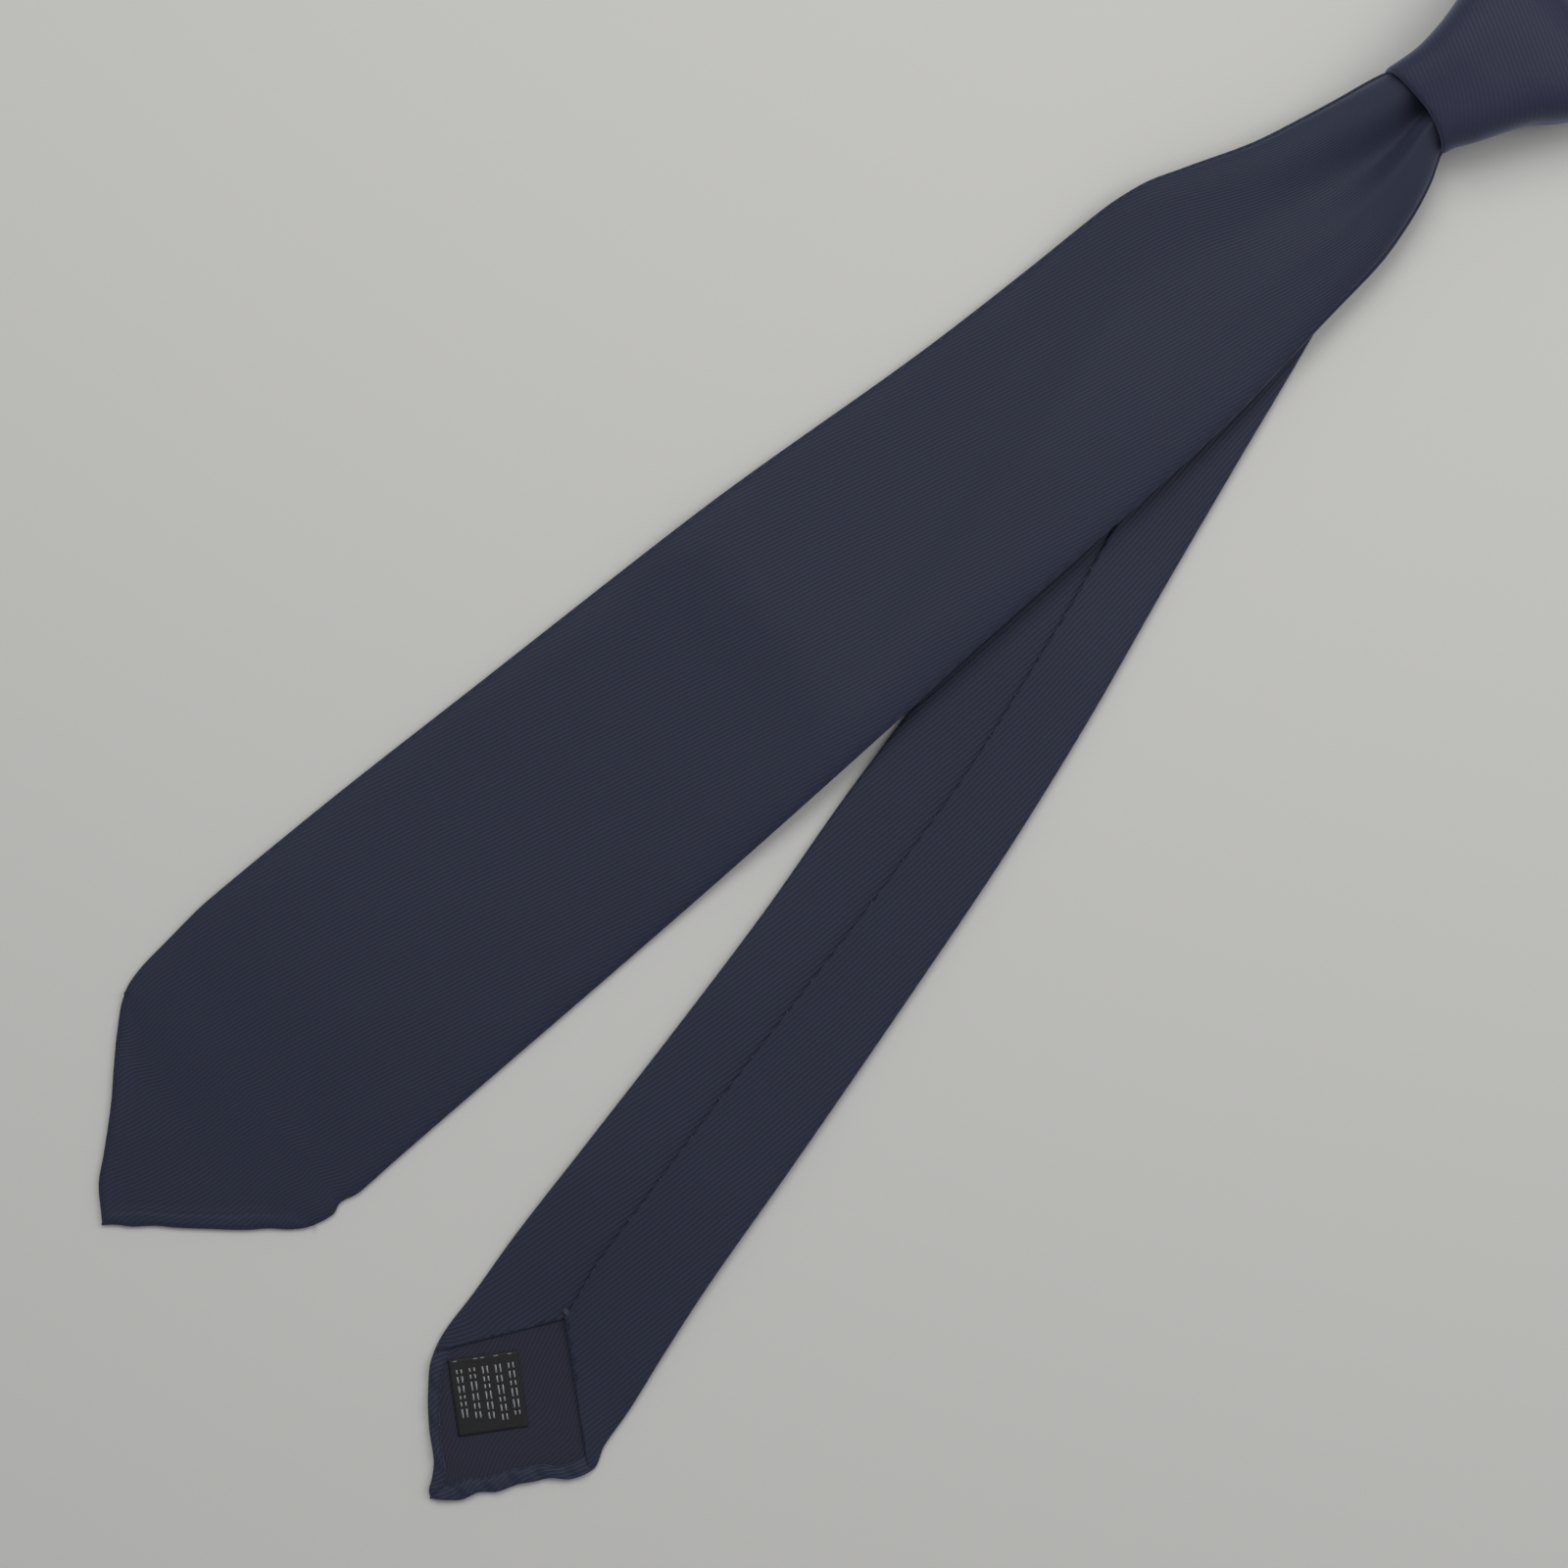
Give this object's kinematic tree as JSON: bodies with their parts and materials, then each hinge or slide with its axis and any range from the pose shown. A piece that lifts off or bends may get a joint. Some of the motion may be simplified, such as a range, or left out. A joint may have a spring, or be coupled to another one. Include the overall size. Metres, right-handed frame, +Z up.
{
  "type": "necktie",
  "caption": "Navy twill silk necktie, tied and laid flat: front blade face up, tail back side up beside it, knot and neck loop.",
  "frame": {"origin": "on the table under the middle of the knot's mouth, on the knot's underside", "axes": "+Y runs up the tie towards the neck, +X is to the side the tail lies on, +Z is up off the table, out of the front blade's face"},
  "size_m": [0.1906, 0.6742, 0.034],
  "materials": {
    "navy_silk": "matt diagonal twill with a soft sheen",
    "wool_interlining": "brushed wool",
    "navy_thread": "twisted silk thread",
    "label_cloth": "woven satin label"
  },
  "bodies": {
    "knot": {"knot_front_wrap": "navy_silk", "knot_wrap_interlining": "wool_interlining", "knot_back_wrap": "navy_silk", "knot_inner_turn": "navy_silk", "knot_cross_turn": "navy_silk", "front_blade_pass": "navy_silk", "neck_band_ends": "navy_silk"},
    "front_blade": {"front_blade_silk": "navy_silk", "front_interlining": "wool_interlining", "front_tip_hem": "navy_silk", "front_hem_stitches": "navy_thread", "front_slip_stitches": "navy_thread", "front_bar_tack": "navy_thread", "keeper_loop": "navy_silk", "keeper_stitches": "navy_thread"},
    "tail_strip": {"tail_strip_silk": "navy_silk", "tail_strip_interlining": "wool_interlining"},
    "tail_blade": {"tail_blade_silk": "navy_silk", "tail_interlining": "wool_interlining", "tail_tip_hem": "navy_silk", "tail_hem_stitches": "navy_thread", "tail_slip_stitches": "navy_thread", "tail_bar_tack": "navy_thread", "composition_label": "label_cloth", "label_stitches": "navy_thread"},
    "neck_loop": {"neck_front_panel": "navy_silk", "neck_tail_panel": "navy_silk", "neck_gusset": "navy_silk", "neck_interlining": "wool_interlining", "neck_slip_stitches": "navy_thread"}
  },
  "joints": [
    {"name": "front_blade_lift", "type": "hinge", "parent": "knot", "child": "front_blade", "pos_m": [0, -0.008, 0.011], "axis": [-1, 0, 0], "range_deg": [0, 110]},
    {"name": "tail_slide", "type": "slide", "parent": "knot", "child": "tail_strip", "axis": [0, -1, 0], "range_m": [0, 0.04], "deforming": ["neck_front_panel", "neck_tail_panel", "neck_gusset", "neck_interlining", "neck_slip_stitches"]},
    {"name": "tail_swing", "type": "hinge", "parent": "tail_strip", "child": "tail_blade", "pos_m": [0.0015, -0.011, 0.0029], "axis": [0, 0, 1], "range_deg": [0, 20]},
    {"name": "neck_loop_swing", "type": "hinge", "parent": "knot", "child": "neck_loop", "pos_m": [0.009, 0.052, 0.00685], "axis": [1, 0, 0], "range_deg": [-90, 0]}
  ]
}
